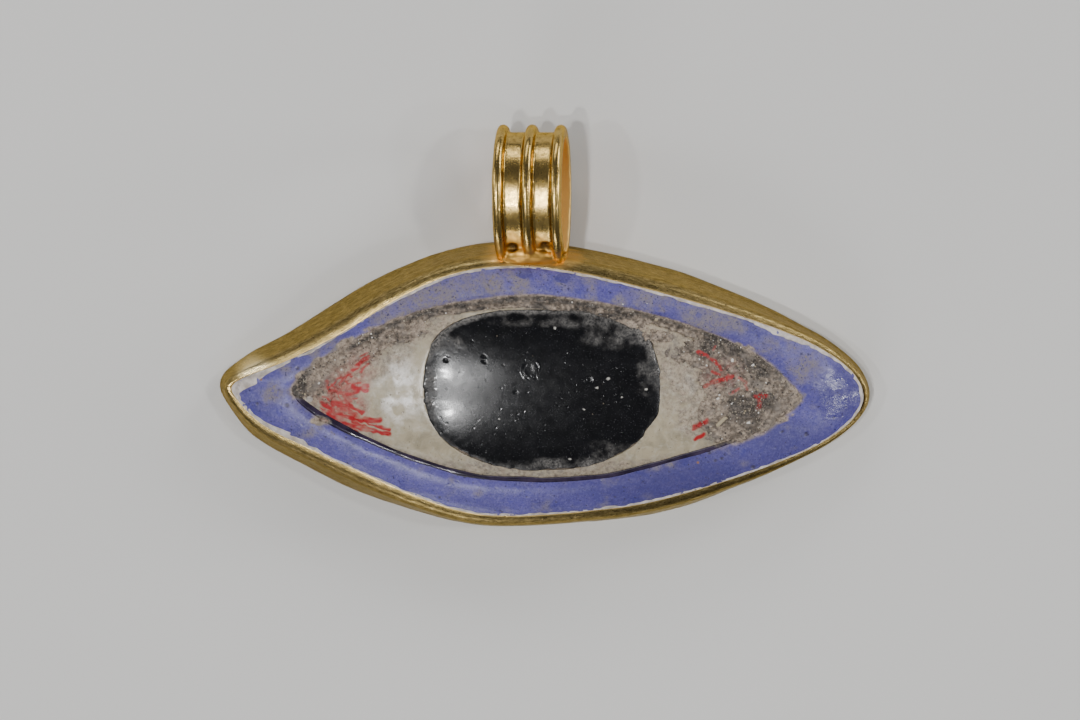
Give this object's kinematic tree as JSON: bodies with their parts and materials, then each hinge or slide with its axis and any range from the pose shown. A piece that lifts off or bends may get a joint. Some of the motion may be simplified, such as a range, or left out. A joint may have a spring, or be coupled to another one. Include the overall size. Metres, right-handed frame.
{
  "type": "eye amulet pendant",
  "caption": "Eye-shaped amulet pendant: a gold tray with a ribbed suspension loop, inlaid with a blue glass lid, a white eye and a black iris.",
  "frame": {"origin": "middle of the pendant's box, on the flat back that it lies on", "axes": "+X along the eye to its right tip as seen from the front, +Y towards the suspension loop, +Z out of the face"},
  "size_m": [0.0616, 0.0384, 0.01],
  "materials": {
    "gold": "worn, hand-burnished yellow gold sheet with fine scratches",
    "loop_gold": "polished yellow gold, orange where the solder ran",
    "plaster": "chalky, off-white, crumbling at its edge",
    "blue_glass": "opaque blue glass, satin, with dark specks and dried dirt",
    "dark_glass": "glossy dark purple-black glass",
    "white_glass": "opaque cream white, satin, with red strokes and sandy dirt at the corners",
    "black_glass": "black glass, glossy, pitted, with fine pale dust"
  },
  "bodies": {
    "root": {"gold_setting": "gold", "suspension_loop": "loop_gold", "plaster_bedding": "plaster", "blue_lid": "blue_glass", "lid_line": "dark_glass", "eye_white": "white_glass", "iris": "black_glass"}
  },
  "joints": []
}
